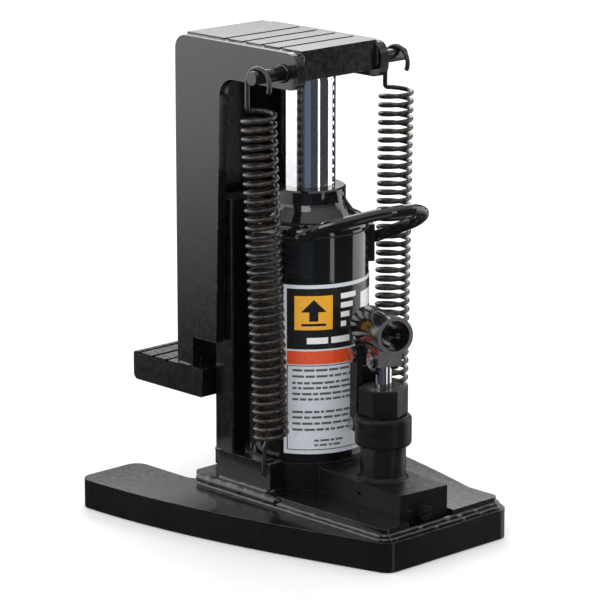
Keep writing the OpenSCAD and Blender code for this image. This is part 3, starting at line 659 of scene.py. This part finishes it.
# A plain amber tile with an arrow, and plain white bars beside it
TILE = -128.5
patches("label_tile", [(TILE - 18, TILE + 18, 130.5, 152.5)], ink_amber, 0.03)
ARROW_HALF, ARROW_Z, ARROW_ROWS, ROW = 11.5, 142.0, 12, 0.65
arrow = []
for i in range(ARROW_ROWS):
    half = ARROW_HALF * (1 - i / ARROW_ROWS)
    arrow.append((TILE - half, TILE + half, ARROW_Z + i * ROW, ARROW_Z + (i + 1) * ROW))
arrow.append((TILE - 4.2, TILE + 4.2, 136.0, ARROW_Z))
arrow.append((TILE - ARROW_HALF, TILE + ARROW_HALF, 133.0, 134.6))
patches("label_arrow", arrow, ink_black, 0.06)
patches("label_bars", [
    (-102, -84, 149.5, 153.0), (-102, -88, 143.5, 147.0), (-102, -92, 137.5, 141.0),
    (-102, -96, 131.5, 135.0),
    (-135, -115, 121.5, 125.5), (-112, -92, 121.5, 125.5), (-86, -58, 121.5, 125.5),
    (-76, -20, 140.0, 151.0),
], ink_white, 0.03)


# ------------------------------------------------------- floor and studio ----

def plane(name, corners, material):
    made = piece(name, corners, [(0, 1, 2, 3)], material, smooth=False)
    return made


FLOOR = 6.0
FLOOR_Z = -0.0004                      # just under the base, so that the faces don't meet
floor = plane("floor", [
    Vector((-FLOOR, -FLOOR, FLOOR_Z)), Vector((FLOOR, -FLOOR, FLOOR_Z)),
    Vector((FLOOR, FLOOR, FLOOR_Z)), Vector((-FLOOR, FLOOR, FLOOR_Z)),
], pale_floor("pale_floor"))
floor.visible_glossy = False


def glow(name, stops, tint):
    """Emission that changes with height. Each stop is (height, strength)."""
    mat = bpy.data.materials.new(name)
    mat.use_nodes = True
    tree = mat.node_tree
    tree.nodes.clear()
    out = tree.nodes.new("ShaderNodeOutputMaterial")
    emit = tree.nodes.new("ShaderNodeEmission")
    coord = tree.nodes.new("ShaderNodeTexCoord")
    split = tree.nodes.new("ShaderNodeSeparateXYZ")
    spread = tree.nodes.new("ShaderNodeMapRange")
    spread.interpolation_type = "SMOOTHSTEP"
    emit.inputs["Color"].default_value = (*tint, 1)
    (z0, low), (z1, high) = stops
    for socket, value in (("From Min", z0), ("From Max", z1), ("To Min", low), ("To Max", high)):
        spread.inputs[socket].default_value = value
    tree.links.new(coord.outputs["Object"], split.inputs[0])
    tree.links.new(split.outputs["Z"], spread.inputs["Value"])
    tree.links.new(spread.outputs["Result"], emit.inputs["Strength"])
    tree.links.new(emit.outputs[0], out.inputs["Surface"])
    return mat


def card(name, first, last, distance, low, high, stops, tint=(1, 1, 1)):
    """A curved light card round the object, seen only in reflections. Angles are from +X."""
    verts, faces = [], []
    steps = 12
    for i in range(steps + 1):
        a = math.radians(first + (last - first) * i / steps)
        for z in (low, high):
            verts.append(Vector((distance * math.cos(a), distance * math.sin(a), z)))
    for i in range(steps):
        faces.append((2 * i, 2 * i + 2, 2 * i + 3, 2 * i + 1))
    made = piece(name, verts, faces, glow(name + "_glow", stops, tint), smooth=False)
    made.visible_camera = False
    made.visible_diffuse = False
    made.visible_shadow = False


card("card_left", 82, 178, 1.3, -0.9, 1.2, ((-0.26, 0.04), (0.13, 1.9)))
card("card_back", 22, 81, 1.5, -0.9, 1.6, ((0.44, 0.10), (0.74, 3.1)))
card("card_right", -41, 3, 1.3, -0.9, 1.0, ((-0.45, 0.5), (-0.05, 1.7)))
card("card_strip", -92, -84, 1.3, -0.9, 1.0, ((-0.45, 0.6), (-0.1, 2.0)))
card("card_cool", -148, -123, 1.3, -0.9, 1.0, ((-0.4, 0.08), (0.0, 0.20)), (0.5, 0.7, 1.0))

world = bpy.data.worlds.new("studio")
scene.world = world
world.use_nodes = True
tree = world.node_tree
tree.nodes.clear()
out = tree.nodes.new("ShaderNodeOutputWorld")
blend = tree.nodes.new("ShaderNodeMixShader")
path_kind = tree.nodes.new("ShaderNodeLightPath")
open_light = tree.nodes.new("ShaderNodeBackground")
open_light.inputs["Color"].default_value = (1, 1, 1, 1)
open_light.inputs["Strength"].default_value = 1.08
mirrored = tree.nodes.new("ShaderNodeBackground")
coord = tree.nodes.new("ShaderNodeTexCoord")
split = tree.nodes.new("ShaderNodeSeparateXYZ")
ramp = tree.nodes.new("ShaderNodeValToRGB")
lift = tree.nodes.new("ShaderNodeMapRange")
lift.inputs["From Min"].default_value = -1
lift.inputs["From Max"].default_value = 1
tree.links.new(coord.outputs["Generated"], split.inputs[0])
tree.links.new(split.outputs["Z"], lift.inputs["Value"])
tree.links.new(lift.outputs["Result"], ramp.inputs["Fac"])
ramp.color_ramp.elements[0].position = 0.30
ramp.color_ramp.elements[0].color = (0.05, 0.05, 0.055, 1)
ramp.color_ramp.elements[1].position = 0.95
ramp.color_ramp.elements[1].color = (1.0, 1.0, 1.0, 1)
middle = ramp.color_ramp.elements.new(0.68)
middle.color = (0.07, 0.07, 0.08, 1)
tree.links.new(ramp.outputs["Color"], mirrored.inputs["Color"])
tree.links.new(path_kind.outputs["Is Glossy Ray"], blend.inputs["Fac"])
tree.links.new(open_light.outputs[0], blend.inputs[1])
tree.links.new(mirrored.outputs[0], blend.inputs[2])
tree.links.new(blend.outputs[0], out.inputs["Surface"])


def softbox(name, place, look, width, height, watts):
    data = bpy.data.lights.new(name, "AREA")
    data.shape = "RECTANGLE"
    data.size = width
    data.size_y = height
    data.energy = watts
    made = bpy.data.objects.new(name, data)
    scene.collection.objects.link(made)
    made.location = place
    made.rotation_euler = (Vector(look) - Vector(place)).to_track_quat("-Z", "Y").to_euler()


softbox("key_light", (-1.6, -1.2, 2.0), (0, 0, 0.1), 1.2, 1.2, 14)
softbox("rim_light", (1.4, 1.6, 1.7), (0, 0, 0.2), 1.0, 1.0, 12)

scene.view_settings.view_transform = "Standard"
